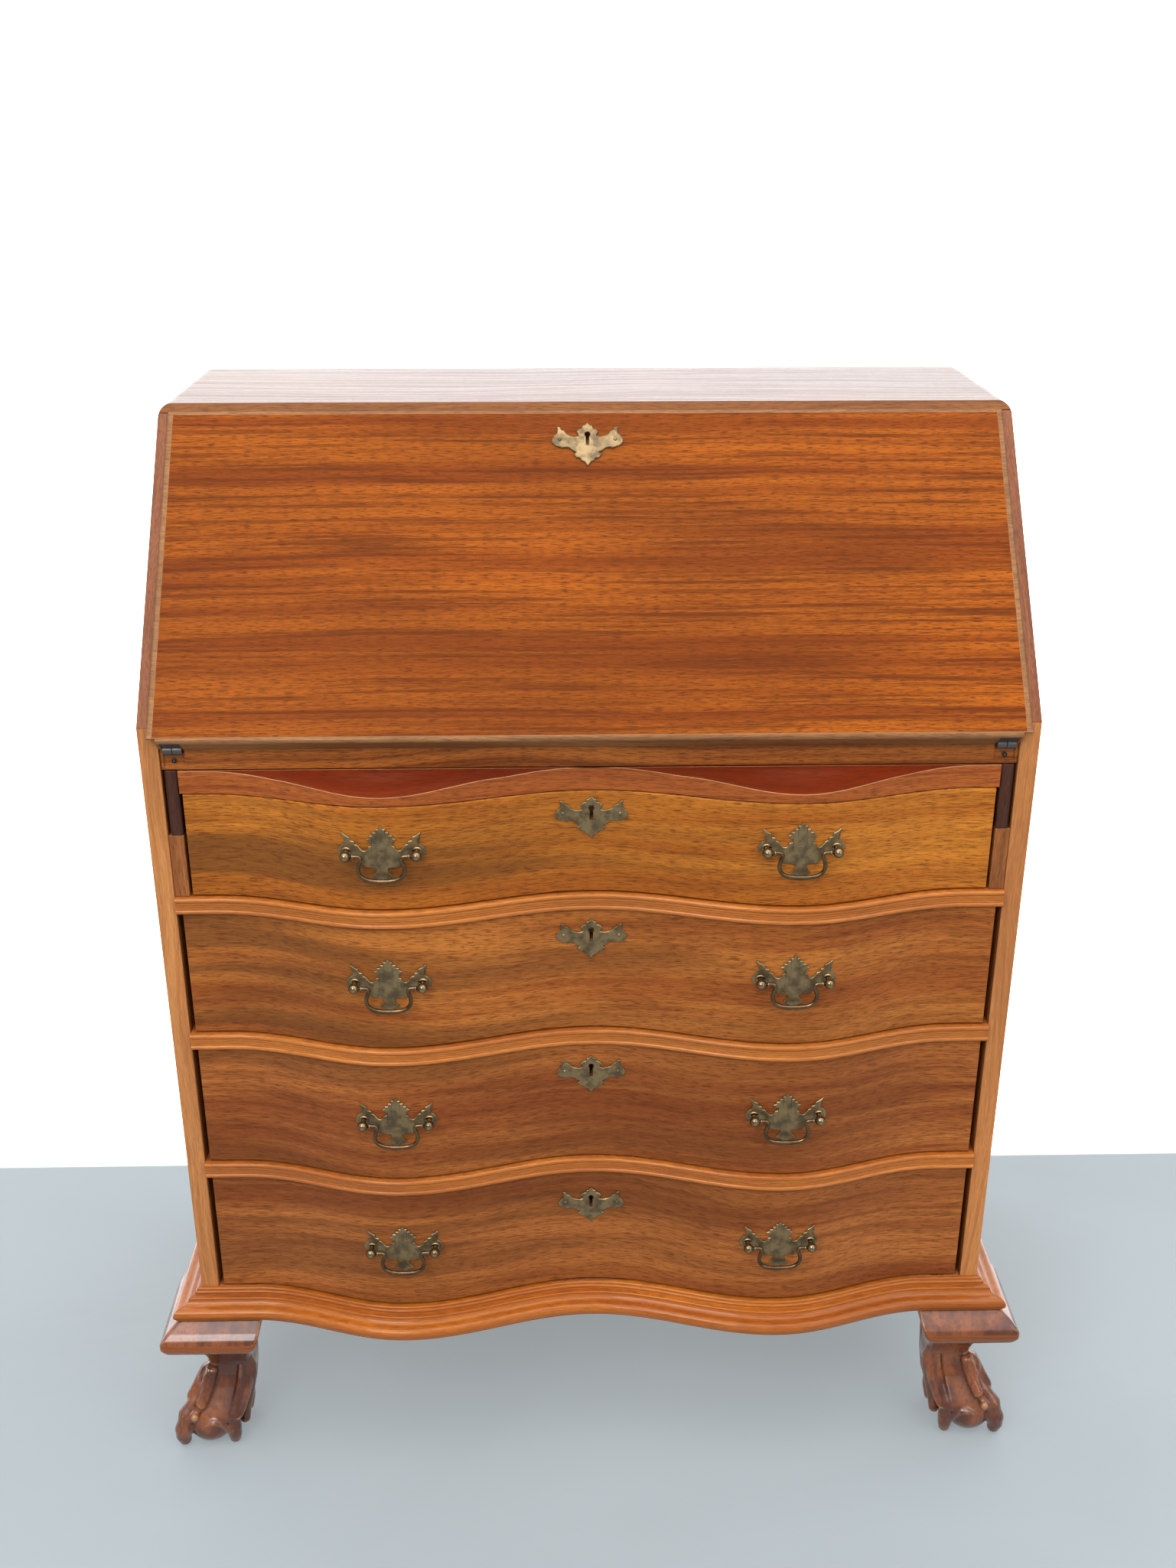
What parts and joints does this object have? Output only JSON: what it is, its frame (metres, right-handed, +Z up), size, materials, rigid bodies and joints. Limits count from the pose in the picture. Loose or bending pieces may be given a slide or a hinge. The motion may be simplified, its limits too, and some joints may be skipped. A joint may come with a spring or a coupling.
{
  "type": "slant-front secretary desk",
  "caption": "Slant-front writing desk with a drop lid on sliding supports, over a serpentine chest of drawers on carved paw feet, with an inner gallery.",
  "frame": {"origin": "middle of the footprint on the floor, at the centre of the bounding box's underside", "axes": "+X across the desk to the right as seen from the front, +Y from the drawers to the back, +Z up"},
  "size_m": [0.8934, 0.4722, 1.0695],
  "materials": {
    "mahogany": "semi-gloss stained ribbon-stripe mahogany",
    "red_mahogany": "glossy red-brown mahogany",
    "dark_mahogany": "semi-gloss dark stained mahogany",
    "light_mahogany": "semi-gloss light orange-brown mahogany",
    "inner_wood": "bare pale wood of drawer boxes and back",
    "antique_brass": "aged olive-brown patina",
    "dark_bronze": "dark aged bronze, rubbed bright on the high spots",
    "hinge_steel": "dark worn steel"
  },
  "bodies": {
    "case": {"side_panel_right": "light_mahogany", "side_panel_left": "light_mahogany", "top_board": "red_mahogany", "back_panel": "inner_wood", "bottom_board": "inner_wood", "writing_bed": "mahogany", "drawer_rail_1": "light_mahogany", "drawer_rail_2": "light_mahogany", "drawer_rail_3": "light_mahogany", "apron_rail": "red_mahogany", "hinge_rail": "mahogany", "hinge_right": "hinge_steel", "hinge_left": "hinge_steel", "base_moulding_front": "light_mahogany", "base_moulding_right": "light_mahogany", "base_moulding_left": "light_mahogany", "foot_front_left": "dark_mahogany", "foot_back_left": "dark_mahogany", "foot_front_right": "dark_mahogany", "foot_back_right": "dark_mahogany", "loper_runner_right": "mahogany", "loper_runner_left": "mahogany", "gallery": "mahogany"},
    "lid": {"lid_panel": "mahogany", "lid_keyplate": "antique_brass", "lid_hinge_right": "hinge_steel", "lid_hinge_left": "hinge_steel"},
    "loper_left": {"loper_left": "dark_mahogany"},
    "loper_right": {"loper_right": "dark_mahogany"},
    "drawer_1": {"drawer_1_front": "mahogany", "drawer_1_box": "inner_wood", "drawer_1_keyplate": "antique_brass", "drawer_1_pull_plate_left": "antique_brass", "drawer_1_pull_plate_right": "antique_brass"},
    "drawer_1_bail_left": {"drawer_1_bail_left": "dark_bronze"},
    "drawer_1_bail_right": {"drawer_1_bail_right": "dark_bronze"},
    "drawer_2": {"drawer_2_front": "mahogany", "drawer_2_box": "inner_wood", "drawer_2_keyplate": "antique_brass", "drawer_2_pull_plate_left": "antique_brass", "drawer_2_pull_plate_right": "antique_brass"},
    "drawer_2_bail_left": {"drawer_2_bail_left": "dark_bronze"},
    "drawer_2_bail_right": {"drawer_2_bail_right": "dark_bronze"},
    "drawer_3": {"drawer_3_front": "mahogany", "drawer_3_box": "inner_wood", "drawer_3_keyplate": "antique_brass", "drawer_3_pull_plate_left": "antique_brass", "drawer_3_pull_plate_right": "antique_brass"},
    "drawer_3_bail_left": {"drawer_3_bail_left": "dark_bronze"},
    "drawer_3_bail_right": {"drawer_3_bail_right": "dark_bronze"},
    "drawer_4": {"drawer_4_front": "mahogany", "drawer_4_box": "inner_wood", "drawer_4_keyplate": "antique_brass", "drawer_4_pull_plate_left": "antique_brass", "drawer_4_pull_plate_right": "antique_brass"},
    "drawer_4_bail_left": {"drawer_4_bail_left": "dark_bronze"},
    "drawer_4_bail_right": {"drawer_4_bail_right": "dark_bronze"},
    "small_drawer_1": {"small_drawer_1": "inner_wood"},
    "small_drawer_2": {"small_drawer_2": "inner_wood"},
    "small_drawer_3": {"small_drawer_3": "inner_wood"}
  },
  "joints": [
    {"name": "lid_hinge", "type": "hinge", "parent": "case", "child": "lid", "pos_m": [0, -0.1749, 0.798], "axis": [1, 0, 0], "range_deg": [0, 129.8]},
    {"name": "loper_left_slide", "type": "slide", "parent": "case", "child": "loper_left", "axis": [0, -1, 0], "range_m": [0, 0.25]},
    {"name": "loper_right_slide", "type": "slide", "parent": "case", "child": "loper_right", "axis": [0, -1, 0], "range_m": [0, 0.25]},
    {"name": "drawer_1_slide", "type": "slide", "parent": "case", "child": "drawer_1", "axis": [0, -1, 0], "range_m": [0, 0.3]},
    {"name": "drawer_1_bail_left_swing", "type": "hinge", "parent": "drawer_1", "child": "drawer_1_bail_left", "pos_m": [-0.19, -0.2189, 0.711], "axis": [-1, 0, 0], "range_deg": [0, 85]},
    {"name": "drawer_1_bail_right_swing", "type": "hinge", "parent": "drawer_1", "child": "drawer_1_bail_right", "pos_m": [0.19, -0.2189, 0.711], "axis": [-1, 0, 0], "range_deg": [0, 85]},
    {"name": "drawer_2_slide", "type": "slide", "parent": "case", "child": "drawer_2", "axis": [0, -1, 0], "range_m": [0, 0.3]},
    {"name": "drawer_2_bail_left_swing", "type": "hinge", "parent": "drawer_2", "child": "drawer_2_bail_left", "pos_m": [-0.19, -0.2189, 0.575], "axis": [-1, 0, 0], "range_deg": [0, 85]},
    {"name": "drawer_2_bail_right_swing", "type": "hinge", "parent": "drawer_2", "child": "drawer_2_bail_right", "pos_m": [0.19, -0.2189, 0.575], "axis": [-1, 0, 0], "range_deg": [0, 85]},
    {"name": "drawer_3_slide", "type": "slide", "parent": "case", "child": "drawer_3", "axis": [0, -1, 0], "range_m": [0, 0.3]},
    {"name": "drawer_3_bail_left_swing", "type": "hinge", "parent": "drawer_3", "child": "drawer_3_bail_left", "pos_m": [-0.19, -0.2189, 0.422], "axis": [-1, 0, 0], "range_deg": [0, 85]},
    {"name": "drawer_3_bail_right_swing", "type": "hinge", "parent": "drawer_3", "child": "drawer_3_bail_right", "pos_m": [0.19, -0.2189, 0.422], "axis": [-1, 0, 0], "range_deg": [0, 85]},
    {"name": "drawer_4_slide", "type": "slide", "parent": "case", "child": "drawer_4", "axis": [0, -1, 0], "range_m": [0, 0.3]},
    {"name": "drawer_4_bail_left_swing", "type": "hinge", "parent": "drawer_4", "child": "drawer_4_bail_left", "pos_m": [-0.19, -0.2189, 0.269], "axis": [-1, 0, 0], "range_deg": [0, 85]},
    {"name": "drawer_4_bail_right_swing", "type": "hinge", "parent": "drawer_4", "child": "drawer_4_bail_right", "pos_m": [0.19, -0.2189, 0.269], "axis": [-1, 0, 0], "range_deg": [0, 85]},
    {"name": "small_drawer_1_slide", "type": "slide", "parent": "case", "child": "small_drawer_1", "axis": [0, -1, 0], "range_m": [0, 0.12]},
    {"name": "small_drawer_2_slide", "type": "slide", "parent": "case", "child": "small_drawer_2", "axis": [0, -1, 0], "range_m": [0, 0.12]},
    {"name": "small_drawer_3_slide", "type": "slide", "parent": "case", "child": "small_drawer_3", "axis": [0, -1, 0], "range_m": [0, 0.12]}
  ],
  "couplings": [
    {"joint": "loper_left_slide", "follows": "lid_hinge", "m_per_rad": 0.1103},
    {"joint": "loper_right_slide", "follows": "lid_hinge", "m_per_rad": 0.1103}
  ]
}
